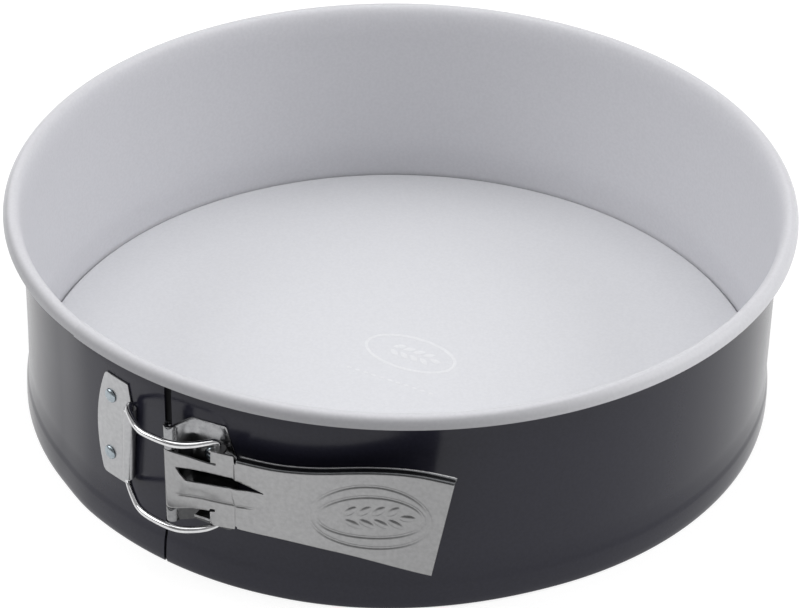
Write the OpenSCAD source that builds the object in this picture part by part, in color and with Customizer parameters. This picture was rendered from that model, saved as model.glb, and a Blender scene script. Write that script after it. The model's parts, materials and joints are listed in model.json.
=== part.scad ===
// Springform cake pan: a lapped sheet-steel side band closed by an over-centre
// lever clasp, and a loose round base that sits on the lip at the band's foot.
// Origin: centre of the plane that the pan stands on. +Z up, -Y towards the seam.
// Places round the band are given in mm along the wall, measured from the seam:
// positive to the right as seen from outside, where the hinge and lever are.

/* [Pan] */
// Inside radius of the band's wall
pan_r = 130; // [110:1:150]
// Height from the table to the top of the rim
pan_h = 78; // [70:1:95]
// Thickness of the band's sheet
sheet_t = 0.6; // [0.5:0.1:0.7]
// Outer radius of the half-round rim
rim_r = 3.3; // [2.8:0.1:4]
// Length of the tongue that runs behind the outer layer
tongue_len = 37; // [36:1:45]

/* [Foot and base] */
// Height of the bulged foot that receives the base
foot_h = 11; // [9:0.5:13]
// How far the foot stands out from the wall
foot_out = 0.7; // [0.6:0.1:0.9]
// Width of the lip that carries the base
lip_w = 2.9; // [2.5:0.1:4]
// Height of the base's upper face above the table
base_top = 4; // [3:0.5:5]
// Thickness of the base's sheet
base_t = 0.8; // [0.6:0.1:1]

/* [Clasp] */
// Height of the clasp's middle above the table
clasp_z = 42; // [38:1:46]
// Diameter of the bail's wire
wire_d = 2.2; // [2:0.1:2.3]
// Place of the hinge pin along the wall
hinge_mm = 3.6; // [3:0.1:4.5]
// Distance of the hinge pin outside the wall's inner face
hinge_d = 6.6; // [6.4:0.1:7]
// Place of the bail's pivot in the lever along the wall
pivot_mm = 19.5; // [19:0.1:20]
// Distance of that pivot outside the wall's inner face
pivot_d = 4.6; // [4.5:0.1:4.8]
// Place of the catch plate's curl along the wall
catch_mm = -16.1; // [-17:0.1:-15.5]
// Half of the bail's height between its two arms
bail_half = 16.4; // [16:0.1:17]
// How far the bail's arms bow outwards
bail_bow = 9.3; // [9:0.1:10]

/* [Lever] */
// Place along the wall where the lever leaves the curve of the band
lever_bend_mm = 57.9; // [52:0.1:62]
// Place of the lever's tip along the wall
lever_tip_mm = 91; // [86:0.5:96]
// Radius of the outward curve towards the tip
lever_sweep_r = 173; // [150:1:220]
// Half height of the lever beside its hinge
lever_half = 13.25; // [12:0.05:14]
// Half height of the lever at its tip
tip_half = 18.4; // [16:0.1:20]
// Slant of the tip, the upper corner being the further one
tip_slant = 6.5; // [3:0.5:8]

/* [Hidden] */
$fn = 96;

// Side band
rim_z = pan_h - rim_r;
rim_edge_z = rim_z - 0.7;
lap_gap = 0.1;
lap_out = sheet_t + lap_gap;
seam_gap = 0.6;
joggle_mm = 1.2;
tie_mm = 0.4;
tongue_z = foot_h + sheet_t + 0.2;
band_round = 2 * PI * pan_r;

// Base
base_clear = 0.3;
base_r = pan_r + foot_out - base_clear;
base_z = sheet_t + 0.1;

// Catch plate, on the outer layer
catch_d = lap_out + sheet_t + 0.05;
catch_t = 1.25;
curl_r = 2.1;
curl_d = catch_d + curl_r + 0.15;
catch_root = 0.75;
catch_w = 19.7;
catch_half = 20.5;
catch_curl_half = 13.4;
catch_slant_mm = 9;
catch_edge_r = 62;
catch_rivet_mm = catch_mm - 10;
catch_rivet_dz = 11.6;
fit = 0.08;

// Hinge plate, on the wall to the right of the seam
hinge_gap = 0.05;
hinge_plate_d = sheet_t + hinge_gap;
hinge_t = 1;
hinge_plate_mm = hinge_mm + 5.6;
hinge_plate_w = 13.6;
hinge_half = 20.2;
hinge_corner_r = 4;
knuckle_r = 2.1;
pin_r = 1.05;
pin_fit = 0.05;
knuckle_top = 18;
knuckle_split_hi = 7.4;
knuckle_split_lo = -13.6;
knuckle_gap = 0.3;
hinge_rivet_mm = hinge_mm + 12;
hinge_rivet_dz = 8;
// These shanks stop short of the wall's inner face, clear of the base as it lifts
hinge_shank_d = base_r - pan_r + 0.1;

// Rivets
rivet_r = 1.4;
rivet_head_r = 2.3;
rivet_head_h = 1.1;
rivet_fit = 0.05;

// Lever
face_t = 1;
face_d = hinge_d + knuckle_r - face_t - 0.1;
flange_depth = 3;
wing_mm = 17.5;
wing_end_mm = 25.5;
wing_half = 14.4;
ear_w = 6;
ear_d = 2.6;
lever_mid = turn((hinge_mm + lever_tip_mm) / 2);
flare_mm = 37;
flare_half = lever_half + 1.6;
flare_mid_mm = 54;
flare_far_half = tip_half - 1;
flare_far_mm = 72;
sheet_steps = 36;
sweep_centre = at(lever_bend_mm, face_d + face_t + lever_sweep_r);
knuckle_trim = 0.05;

// Bail
wire_r = wire_d / 2;
bend_r = wire_r + 0.15;
pin_reach = 4.6;

// Angle round the pan of a length along its wall
function turn(mm) = mm / pan_r * 180 / PI;
// Place in plan of a point mm along the wall and d outside its inner face
function at(mm, d) = (pan_r + d) * [sin(turn(mm)), -cos(turn(mm))];
// Sideways place, seen square to the middle of the lever, of a point on its face
function lever_u(mm) = (pan_r + face_d) * sin(turn(mm) - lever_mid);

// Turns its children to a place along the wall: +X runs on along the wall, -Y is outwards
module place(mm) rotate([0, 0, turn(mm)]) translate([0, -pan_r, 0]) children();

// Sheet that follows the wall between two places
module wall_sheet(from_mm, to_mm, d, thick, z_lo, z_hi)
    rotate([0, 0, turn(from_mm) - 90])
        rotate_extrude(angle = turn(to_mm - from_mm), $fn = 360)
            translate([pan_r + d, z_lo])
                square([thick, z_hi - z_lo]);

// Section of the band, out from the inner face and thick through; low is its lower edge
module band_section(out, thick, low) {
    translate([pan_r + out, low])
        square([thick, rim_z - low]);
    translate([pan_r + rim_r, rim_z])
        intersection() {
            difference() {
                circle(rim_r - out);
                circle(rim_r - out - thick);
            }
            translate([-rim_r, 0]) square([2 * rim_r, rim_r]);
        }
    translate([pan_r + 2 * rim_r - out - thick, rim_edge_z])
        square([thick, rim_z - rim_edge_z]);
}

// Section of the foot below the wall: shoulder, skirt and inward lip
module foot_section(out, thick) {
    translate([pan_r + out, foot_h])
        square([foot_out + thick, sheet_t]);
    translate([pan_r + out + foot_out, 0])
        square([thick, foot_h + sheet_t]);
    translate([pan_r + out + foot_out - lip_w, 0])
        square([lip_w + thick, sheet_t]);
}

// Band section run along the wall between two places
module band_run(from_mm, to_mm)
    rotate([0, 0, turn(from_mm) - 90])
        rotate_extrude(angle = turn(to_mm - from_mm), $fn = 360)
            children();

// Round hole or shank square to the wall, from d_lo to d_hi outside the inner face
module wall_drill(mm, z, r, d_lo, d_hi)
    place(mm)
        translate([0, -d_lo, z])
            rotate([90, 0, 0])
                cylinder(r = r, h = d_hi - d_lo);

module side_band() color([0.24, 0.25, 0.27]) {
    joggle_start = -tongue_len - seam_gap - joggle_mm;
    // Single layer, round from the tongue's end to the joggle
    difference() {
        band_run(-tongue_len, band_round + joggle_start) {
            band_section(0, sheet_t, foot_h);
            foot_section(0, sheet_t);
        }
        // The tongue has no foot, so that it clears the base and the outer layer's foot
        wall_sheet(-tongue_len - tie_mm, seam_gap, -2 * lip_w, 4 * lip_w, -1, tongue_z);
        for (dz = [-hinge_rivet_dz, hinge_rivet_dz])
            wall_drill(hinge_rivet_mm, clasp_z + dz, rivet_r + rivet_fit, -1, sheet_t + 1);
    }
    // Joggle, where the sheet steps out by its own thickness
    band_run(joggle_start - tie_mm, joggle_start + joggle_mm + tie_mm)
        band_section(sheet_t / 4, lap_out + sheet_t / 2, 2 * foot_h);
    // Outer layer, which carries the catch plate and ends at the seam
    difference() {
        band_run(joggle_start + joggle_mm, 0) {
            band_section(lap_out, sheet_t, foot_h);
            foot_section(lap_out, sheet_t);
        }
        for (dz = [-catch_rivet_dz, catch_rivet_dz])
            wall_drill(catch_rivet_mm, clasp_z + dz, rivet_r + rivet_fit, sheet_t + lap_gap / 2, catch_d);
    }
}

// Flat disc with its edge turned down onto the band's lip
module base_plate() color([0.82, 0.83, 0.84])
    rotate_extrude($fn = 360) {
        translate([0, base_top - base_t]) square([base_r, base_t]);
        translate([base_r - base_t, base_z]) square([base_t, base_top - base_z]);
    }

// Plate riveted to the outer layer; its right edge is curled round the bail's wire
module catch_plate() color([0.68, 0.69, 0.70]) {
    left_u = -catch_w;
    difference() {
        union() {
            intersection() {
                wall_sheet(catch_mm - catch_w, catch_mm - catch_root, catch_d, catch_t,
                    clasp_z - catch_half, clasp_z + catch_half);
                place(catch_mm)
                    translate([0, 5, clasp_z])
                        rotate([90, 0, 0])
                            linear_extrude(15)
                                intersection() {
                                    polygon([
                                        [left_u, -catch_half],
                                        [-catch_slant_mm, -catch_half],
                                        [0, -catch_curl_half],
                                        [0, catch_curl_half],
                                        [-catch_slant_mm, catch_half],
                                        [left_u, catch_half]]);
                                    translate([left_u + catch_edge_r, 0]) circle(catch_edge_r);
                                }
            }
            place(catch_mm)
                translate([0, -curl_d, clasp_z - catch_curl_half])
                    cylinder(r = curl_r, h = 2 * catch_curl_half);
        }
        for (dz = [-catch_rivet_dz, catch_rivet_dz])
            wall_drill(catch_rivet_mm, clasp_z + dz, rivet_r + rivet_fit, 0, 5);
        place(catch_mm)
            translate([0, -curl_d, clasp_z - catch_half])
                cylinder(r = wire_r + fit, h = 2 * catch_half);
    }
}

// Rivet with a low domed head; d_head is the face that the head bears on
module rivet(mm, z, d_lo, d_head) color([0.62, 0.66, 0.72]) {
    dome_r = (rivet_head_r * rivet_head_r + rivet_head_h * rivet_head_h) / (2 * rivet_head_h);
    wall_drill(mm, z, rivet_r, d_lo, d_head);
    place(mm)
        translate([0, -d_head, z])
            rotate([90, 0, 0])
                intersection() {
                    translate([0, 0, rivet_head_h - dome_r]) sphere(dome_r);
                    cylinder(r = rivet_head_r, h = rivet_head_h);
                }
}

module catch_rivet_upper()
    rivet(catch_rivet_mm, clasp_z + catch_rivet_dz, lap_out, catch_d + catch_t);

module catch_rivet_lower()
    rivet(catch_rivet_mm, clasp_z - catch_rivet_dz, lap_out, catch_d + catch_t);

module hinge_rivet_upper()
    rivet(hinge_rivet_mm, clasp_z + hinge_rivet_dz, hinge_shank_d, hinge_plate_d + hinge_t);

module hinge_rivet_lower()
    rivet(hinge_rivet_mm, clasp_z - hinge_rivet_dz, hinge_shank_d, hinge_plate_d + hinge_t);

// Upright piece on the hinge axis, between two heights measured from the clasp's middle
module on_hinge(r, z_lo, z_hi)
    place(hinge_mm)
        translate([0, -hinge_d, clasp_z + z_lo])
            cylinder(r = r, h = z_hi - z_lo);

// One leaf of the hinge plate: a sloping web from the wall to a knuckle
module hinge_leaf(z_lo, z_hi) {
    translate([0, 0, clasp_z + z_lo])
        linear_extrude(z_hi - z_lo)
            polygon([
                at(hinge_plate_mm, hinge_plate_d),
                at(hinge_plate_mm + 1, hinge_plate_d + hinge_t),
                at(hinge_mm + knuckle_r, hinge_d),
                at(hinge_mm + 0.5, hinge_d - knuckle_r + 0.5)]);
    on_hinge(knuckle_r, z_lo, z_hi);
}

module hinge_plate() color([0.66, 0.67, 0.69])
    difference() {
        union() {
            intersection() {
                wall_sheet(hinge_plate_mm, hinge_plate_mm + hinge_plate_w, hinge_plate_d, hinge_t,
                    clasp_z - hinge_half, clasp_z + hinge_half);
                place(hinge_plate_mm)
                    translate([0, 5, clasp_z])
                        rotate([90, 0, 0])
                            linear_extrude(15)
                                hinge_outline();
            }
            hinge_leaf(knuckle_split_hi + knuckle_gap, knuckle_top);
            hinge_leaf(-knuckle_top, knuckle_split_lo - knuckle_gap);
        }
        on_hinge(pin_r + pin_fit, -hinge_half, hinge_half);
        for (dz = [-hinge_rivet_dz, hinge_rivet_dz])
            wall_drill(hinge_rivet_mm, clasp_z + dz, rivet_r + rivet_fit, 0, 5);
    }

// Outline of the hinge plate: square by the hinge, round corners at the far side
module hinge_outline() {
    corner_u = hinge_plate_w - hinge_corner_r;
    translate([-1, -hinge_half])
        square([corner_u + 1, 2 * hinge_half]);
    translate([0, hinge_corner_r - hinge_half])
        square([hinge_plate_w + 1, 2 * (hinge_half - hinge_corner_r)]);
    for (side = [-1, 1])
        translate([corner_u, side * (hinge_half - hinge_corner_r)])
            circle(hinge_corner_r);
}

// The pin stops short of the knuckles' ends, so that both are seen as open tubes
module hinge_pin() color([0.55, 0.56, 0.58])
    on_hinge(pin_r, -knuckle_top + 1.2, knuckle_top - 1.2);

// Outline of the lever seen from outside, drawn smaller by inset
module lever_outline(inset) {
    tip_u = lever_u(lever_tip_mm) - inset;
    polygon([
        [lever_u(hinge_mm), knuckle_split_lo + inset],
        [lever_u(wing_mm), knuckle_split_lo + inset],
        [lever_u(wing_mm), -wing_half + inset],
        [lever_u(wing_end_mm), -wing_half + inset],
        [lever_u(wing_end_mm), -lever_half + inset],
        [lever_u(flare_mm), -lever_half + inset],
        [lever_u(flare_mid_mm), -flare_half + inset],
        [lever_u(flare_far_mm), -flare_far_half + inset],
        [tip_u - tip_slant, -tip_half + inset],
        [tip_u, tip_half - inset],
        [lever_u(flare_far_mm), flare_far_half - inset],
        [lever_u(flare_mid_mm), flare_half - inset],
        [lever_u(flare_mm), lever_half - inset],
        [lever_u(wing_end_mm), lever_half - inset],
        [lever_u(wing_end_mm), wing_half - inset],
        [lever_u(wing_mm), wing_half - inset],
        [lever_u(wing_mm), knuckle_split_hi - inset],
        [lever_u(hinge_mm), knuckle_split_hi - inset]]);
}

// Lever's outline as a block, square to the lever's middle
module lever_block(inset)
    rotate([0, 0, lever_mid])
        translate([0, -pan_r, clasp_z])
            rotate([90, 0, 0])
                linear_extrude(60, center = true)
                    lever_outline(inset);

// Place in plan of a point of the lever's sheet, back mm behind its outer face
function sheet_point(mm, back) =
    mm < lever_bend_mm
    ? at(mm, face_d + face_t - back)
    : let (azimuth = turn(lever_bend_mm) + 90 - (mm - lever_bend_mm) / lever_sweep_r * 180 / PI)
        sweep_centre + (lever_sweep_r + back) * [cos(azimuth), sin(azimuth)];

// Lever's sheet in plan from from_mm to to_mm, from skip to skip + depth behind its outer face
module lever_sheet(from_mm, to_mm, skip, depth) {
    step = (to_mm - from_mm) / sheet_steps;
    outer = [for (i = [0 : sheet_steps]) sheet_point(from_mm + i * step, skip)];
    inner = [for (i = [sheet_steps : -1 : 0]) sheet_point(from_mm + i * step, skip + depth)];
    translate([0, 0, clasp_z - hinge_half])
        linear_extrude(2 * hinge_half)
            polygon(concat(outer, inner));
}

// Ear that holds one end of the bail, folded back from a wing of the lever
module lever_ear(z_lo)
    place(pivot_mm)
        translate([-ear_w / 2, -(face_d + face_t / 2), clasp_z + z_lo])
            cube([ear_w, face_d + face_t / 2 - ear_d, face_t]);

// The lever is a shallow tray: a face with its edges turned back, but not by the hinge
module clasp_lever() color([0.60, 0.60, 0.60])
    difference() {
        union() {
            difference() {
                intersection() {
                    lever_sheet(hinge_mm, lever_tip_mm + tip_slant, 0, flange_depth);
                    lever_block(0);
                }
                lever_sheet(hinge_mm - knuckle_r, wing_end_mm, face_t, 2 * flange_depth);
                intersection() {
                    lever_sheet(wing_mm, lever_tip_mm + tip_slant, face_t, 2 * flange_depth);
                    lever_block(face_t);
                }
            }
            on_hinge(knuckle_r, knuckle_split_lo + knuckle_trim, knuckle_split_hi - knuckle_trim);
            lever_ear(wing_half - face_t - knuckle_trim);
            lever_ear(-wing_half + knuckle_trim);
        }
        on_hinge(pin_r + pin_fit, -hinge_half, hinge_half);
        place(pivot_mm)
            translate([0, -pivot_d, clasp_z - bail_half])
                cylinder(r = wire_r + fit, h = 2 * bail_half);
    }

// Wire bail: a bar in the catch plate's curl, two bowed arms, and two pins in the lever's ears
module wire_bail() color([0.86, 0.87, 0.88]) {
    bar = at(catch_mm, curl_d);
    pivot = at(pivot_mm, pivot_d);
    chord = pivot - bar;
    half_chord = norm(chord) / 2;
    bow_r = (half_chord * half_chord + bail_bow * bail_bow) / (2 * bail_bow);
    half_turn = asin(half_chord / bow_r);
    chord_turn = atan2(chord.y, chord.x);
    inward = [-sin(chord_turn), cos(chord_turn)];
    bow_centre = (bar + pivot) / 2 + inward * (bow_r - bail_bow);
    translate([bar.x, bar.y, clasp_z - bail_half])
        cylinder(r = wire_r, h = 2 * bail_half);
    for (side = [-1, 1]) {
        arm_z = clasp_z + side * bail_half;
        translate([bow_centre.x, bow_centre.y, arm_z])
            rotate([0, 0, chord_turn - 90 - half_turn])
                rotate_extrude(angle = 2 * half_turn, $fn = 180)
                    translate([bow_r, 0]) circle(wire_r, $fn = 48);
        for (bend = [bar, pivot])
            translate([bend.x, bend.y, arm_z])
                sphere(bend_r);
        translate([pivot.x, pivot.y, min(arm_z, arm_z - side * pin_reach)])
            cylinder(r = wire_r, h = pin_reach);
    }
}

side_band();
base_plate();
catch_plate();
catch_rivet_upper();
catch_rivet_lower();
hinge_plate();
hinge_rivet_upper();
hinge_rivet_lower();
hinge_pin();
clasp_lever();
wire_bail();
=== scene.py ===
"""Looks of the springform pan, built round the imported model: coated band, plated clasp, bright wire."""

import json
from math import atan2, ceil, cos, pi, radians, sin

import bpy
import numpy as np
from mathutils import Matrix, Vector
from mathutils.geometry import delaunay_2d_cdt


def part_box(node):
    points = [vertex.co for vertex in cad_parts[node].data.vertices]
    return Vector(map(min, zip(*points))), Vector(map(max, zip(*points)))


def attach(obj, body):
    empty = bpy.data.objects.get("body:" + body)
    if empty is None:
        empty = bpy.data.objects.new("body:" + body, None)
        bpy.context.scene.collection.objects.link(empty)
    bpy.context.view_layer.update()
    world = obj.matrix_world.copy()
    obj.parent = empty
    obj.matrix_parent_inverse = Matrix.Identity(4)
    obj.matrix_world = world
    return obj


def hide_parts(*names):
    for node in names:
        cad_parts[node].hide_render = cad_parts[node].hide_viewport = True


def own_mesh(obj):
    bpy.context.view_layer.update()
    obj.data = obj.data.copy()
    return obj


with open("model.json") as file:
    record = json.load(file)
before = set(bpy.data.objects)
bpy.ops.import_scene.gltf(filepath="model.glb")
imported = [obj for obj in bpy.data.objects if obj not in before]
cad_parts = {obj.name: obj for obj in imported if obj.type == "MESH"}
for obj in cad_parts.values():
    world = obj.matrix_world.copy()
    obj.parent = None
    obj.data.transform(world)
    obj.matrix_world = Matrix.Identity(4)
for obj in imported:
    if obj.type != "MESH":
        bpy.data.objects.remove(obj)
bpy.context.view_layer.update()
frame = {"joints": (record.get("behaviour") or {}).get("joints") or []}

MM = 0.001

# Sizes in millimetres. Places round the band are mm along the wall from the seam,
# positive towards the lever. Depths are mm outside the wall's inner face.
rim_top = 1000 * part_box("side_band")[1].z
pan_r = 130.0
sheet_t = 0.6
lap_out = 0.7
foot_out = 0.7
foot_h = 11.0
lip_w = 2.9
rim_r = 3.3
tongue_mm = -37.0
joint_pos = {j["name"]: j.get("pos_m") for j in frame["joints"]}
clasp_z = 1000 * joint_pos["lever_hinge"][2]
hinge_mm, hinge_d = 3.6, 6.6
pivot_mm, pivot_d = 19.5, 4.6
catch_mm, catch_d = -16.1, 1.5
curl_r, wire_r = 2.1, 1.1
curl_d = catch_d + curl_r
bail_half = 16.4
face_d = 8.6
bend_mm, sweep_r = 57.9, 173.0


# ---------------------------------------------------------------- places

def at(mm, d):
    """Place in plan of a point mm along the wall and d outside its inner face."""
    a = mm / pan_r
    return np.array([(pan_r + d) * sin(a), -(pan_r + d) * cos(a)])


def smooth(lo, hi, x):
    """Runs softly from 0 at lo to 1 at hi."""
    t = np.clip((np.asarray(x, float) - lo) / (hi - lo), 0, 1)
    return t * t * (3 - 2 * t)


def bezier(p0, p1, p2, p3, count):
    """Points of a curve from p0 to p3 that heads for p1 and comes from p2."""
    t = np.linspace(0, 1, count)[:, None]
    p0, p1, p2, p3 = (np.array(p, float) for p in (p0, p1, p2, p3))
    return p0 * (1 - t) ** 3 + 3 * p1 * t * (1 - t) ** 2 + 3 * p2 * t * t * (1 - t) + p3 * t ** 3


def arc(centre, radius, start, end, count):
    """Points of an arc, its angles in degrees."""
    a = np.radians(np.linspace(start, end, count))
    return np.array(centre) + radius * np.stack([np.cos(a), np.sin(a)], 1)


def anticlockwise(loop):
    """The same closed loop, turned round if it runs clockwise."""
    x, y = loop[:, 0], loop[:, 1]
    area = np.sum(x * np.roll(y, -1) - np.roll(x, -1) * y)
    return loop if area > 0 else loop[::-1]


def rounded(points, radius, count=5):
    """A polygon with its corners rounded; radius is one number, or one for each corner."""
    pts = [np.array(p, float) for p in points]
    radii = [radius] * len(pts) if np.isscalar(radius) else radius
    out = []
    for i, p in enumerate(pts):
        if radii[i] <= 0:
            out.append(p)
            continue
        a, b = pts[i - 1] - p, pts[(i + 1) % len(pts)] - p
        reach = min(radii[i], 0.45 * np.linalg.norm(a), 0.45 * np.linalg.norm(b))
        start, end = p + a / np.linalg.norm(a) * reach, p + b / np.linalg.norm(b) * reach
        for t in np.linspace(0, 1, count):
            out.append(start * (1 - t) ** 2 + 2 * p * t * (1 - t) + end * t * t)
    return np.array(out)


def resample(points, step, closed=True):
    """The same line with no stretch longer than step; its own points are kept."""
    out = []
    count = len(points) if closed else len(points) - 1
    for i in range(count):
        a, b = points[i], points[(i + 1) % len(points)]
        n = max(1, ceil(np.linalg.norm(b - a) / step))
        out += [a + (b - a) * k / n for k in range(n)]
    if not closed:
        out.append(points[-1])
    return np.array(out)


# ---------------------------------------------------------------- meshes

sharp_angle = radians(40)


def piece(name, verts, faces, materials, body, nodes, face_slots=None, normals=None):
    """A finished mesh from points in millimetres, riding on a body in place of its CAD nodes."""
    mesh = bpy.data.meshes.new(name)
    mesh.from_pydata((np.asarray(verts) * MM).tolist(), [], faces)
    for m in materials:
        mesh.materials.append(m)
    if face_slots is not None:
        mesh.polygons.foreach_set("material_index", face_slots)
    mesh.polygons.foreach_set("use_smooth", [True] * len(mesh.polygons))
    mesh.update()
    if normals is None:
        mesh.set_sharp_from_angle(angle=sharp_angle)
    else:
        mesh.normals_split_custom_set(normals)
    obj = bpy.data.objects.new(name, mesh)
    bpy.context.scene.collection.objects.link(obj)
    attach(obj, body)
    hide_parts(*nodes)
    return obj


class Builder:
    """Collects points and faces of one mesh."""

    def __init__(self):
        self.verts, self.faces, self.slots = [], [], []

    def add(self, verts, faces, slot=0):
        base = len(self.verts)
        self.verts += [tuple(v) for v in verts]
        self.faces += [tuple(base + i for i in f) for f in faces]
        self.slots += [slot] * len(faces)


def tube(path, radius, sides=24, cap=0.25):
    """Round bar along a line of points, its ends eased by cap."""
    path = np.array(path, float)
    tangents = np.gradient(path, axis=0)
    tangents /= np.linalg.norm(tangents, axis=1)[:, None]
    up = np.array([0.0, 0, 1]) if abs(tangents[0][2]) < 0.9 else np.array([1.0, 0, 0])
    rings, x = [], None
    for p, t in zip(path, tangents):
        x = up - t * up.dot(t) if x is None else x - t * x.dot(t)
        x /= np.linalg.norm(x)
        rings.append((p, x, np.cross(t, x)))
    ends = [(0.0, 0.55), (0.12, 0.8), (0.45, 0.95)]
    stations = []
    for push, share in ends:
        stations.append((rings[0][0] + tangents[0] * cap * push, rings[0][1:], share))
    for i, r in enumerate(rings):
        shift = cap if i == 0 else -cap if i == len(rings) - 1 else None
        stations.append((r[0] if shift is None else r[0] + tangents[i] * shift, r[1:], 1.0))
    for push, share in reversed(ends):
        stations.append((rings[-1][0] - tangents[-1] * cap * push, rings[-1][1:], share))
    verts, faces = [], []
    for p, (x, y), share in stations:
        for k in range(sides):
            a = 2 * pi * k / sides
            verts.append(p + radius * share * (x * cos(a) + y * sin(a)))
    for i in range(len(stations) - 1):
        for k in range(sides):
            n = (k + 1) % sides
            faces.append((i * sides + k, i * sides + n, (i + 1) * sides + n, (i + 1) * sides + k))
    last = (len(stations) - 1) * sides
    faces.append(tuple(reversed(range(sides))))
    faces.append(tuple(range(last, last + sides)))
    return verts, faces


def lathe(profile, segments):
    """Turns a profile of (radius, height) points about +Z; it starts and ends on the axis."""
    verts, index = [], []
    turns = [2 * pi * k / segments for k in range(segments)]
    for r, z in profile:
        if r < 1e-6:
            index.append([len(verts)] * segments)
            verts.append((0, 0, z))
        else:
            index.append(list(range(len(verts), len(verts) + segments)))
            verts += [(r * cos(a), r * sin(a), z) for a in turns]
    faces = []
    for a, b in zip(index, index[1:]):
        for k in range(segments):
            n = (k + 1) % segments
            face = [a[k], a[n], b[n], b[k]]
            unique = [v for j, v in enumerate(face) if v != face[j - 1]]
            if len(unique) > 2:
                faces.append(tuple(unique))
    return verts, faces


def inside(points, loop):
    """Which points lie inside a closed loop."""
    x, y = points[:, 0], points[:, 1]
    hit = np.zeros(len(points), bool)
    for (x0, y0), (x1, y1) in zip(loop, np.roll(loop, -1, 0)):
        crosses = (y0 > y) != (y1 > y)
        if y0 != y1:
            hit ^= crosses & (x < (x1 - x0) * (y - y0) / (y1 - y0) + x0)
    return hit


def inset(loop, by):
    """A closed loop moved inwards (to its left) by a small distance."""
    ahead, behind = np.roll(loop, -1, 0) - loop, loop - np.roll(loop, 1, 0)
    out = np.zeros_like(loop)
    for i, (a, b) in enumerate(zip(ahead, behind)):
        na = np.array([-a[1], a[0]]) / np.linalg.norm(a)
        nb = np.array([-b[1], b[0]]) / np.linalg.norm(b)
        out[i] = (na + nb) / max(1 + na.dot(nb), 0.4)
    return loop + out * by


def sheet(outline, holes, place, thick, step, fine=(), edge=0.16, lines=()):
    """Plate cut to an outline in its own flat coordinates, then put in space by place(points, depth).
    The outline runs anticlockwise and the holes clockwise. fine lists (u0, v0, u1, v1, step) areas,
    and lines are open runs of points that the mesh follows, such as the edges of a bend."""
    loops = [resample(np.array(l, float), step) for l in [outline] + list(holes)]
    shrunk = [inset(l, edge) for l in loops]
    areas = [(loops[0][:, 0].min(), loops[0][:, 1].min(), loops[0][:, 0].max(), loops[0][:, 1].max(), step)]
    grid = []
    for u0, v0, u1, v1, s in areas + list(fine):
        us, vs = np.arange(u0 + s / 2, u1, s), np.arange(v0 + s / 2, v1, s)
        g = np.stack(np.meshgrid(us, vs), -1).reshape(-1, 2)
        g[:, 0] += (np.round((g[:, 1] - v0) / s - 0.5) % 2) * s / 2
        if (u0, v0, u1, v1, s) == areas[0]:
            for f in fine:
                g = g[~((g[:, 0] > f[0]) & (g[:, 0] < f[2]) & (g[:, 1] > f[1]) & (g[:, 1] < f[3]))]
        grid.append(g)
    grid = np.concatenate(grid)
    keep = inside(grid, shrunk[0])
    for h in shrunk[1:]:
        keep &= ~inside(grid, h)
    rim = np.concatenate([resample(l, step / 3) for l in shrunk])
    clear = 0.45 * min([step] + [f[4] for f in fine])
    grid = grid[keep]
    grid = grid[np.array([np.min(np.sum((rim - p) ** 2, 1)) for p in grid]) > clear ** 2]
    lines = [resample(np.array(l, float), step, closed=False) for l in lines]
    if lines:
        along = np.concatenate(lines)
        grid = grid[np.array([np.min(np.sum((along - p) ** 2, 1)) for p in grid]) > (0.4 * step) ** 2]
    points, edges = [], []
    for l in shrunk:
        base = len(points)
        points += [tuple(p) for p in l]
        edges += [(base + i, base + (i + 1) % len(l)) for i in range(len(l))]
    for l in lines:
        kept = inside(l, inset(loops[0], 2 * edge))
        for h in loops[1:]:
            kept &= ~inside(l, h)
        for i, p in enumerate(l):
            if kept[i]:
                points.append(tuple(p))
                if i and kept[i - 1]:
                    edges.append((len(points) - 2, len(points) - 1))
    points += [tuple(p) for p in grid]
    co, _, tris, orig, _, _ = delaunay_2d_cdt([Vector(p) for p in points], edges, [], 0, 1e-5)
    co = np.array([tuple(p) for p in co])
    where = {o: i for i, os in enumerate(orig) for o in os}
    tris = np.array(tris)
    centre = co[tris].mean(1)
    ok = inside(centre, shrunk[0])
    for h in shrunk[1:]:
        ok &= ~inside(centre, h)
    tris = tris[ok]
    n = len(co)
    front, back = place(co, np.zeros(n)), place(co, np.full(n, thick))
    verts = [tuple(p) for p in front] + [tuple(p) for p in back]
    faces = [tuple(t) for t in tris] + [tuple(n + i for i in reversed(t)) for t in tris]
    start = 0
    for l, sh in zip(loops, shrunk):
        m = len(l)
        ring = [[where[start + i] for i in range(m)]]
        for share, depth in ((0.3, 0.3 * edge), (0.0, edge), (0.0, thick - edge), (0.3, thick - 0.3 * edge)):
            ring.append(list(range(len(verts), len(verts) + m)))
            verts += [tuple(p) for p in place(l + (sh - l) * share, np.full(m, depth))]
        ring.append([n + where[start + i] for i in range(m)])
        for a, b in zip(ring, ring[1:]):
            for i in range(m):
                j = (i + 1) % m
                faces.append((a[j], a[i], b[i], b[j]))
        start += m
    return verts, faces


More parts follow.
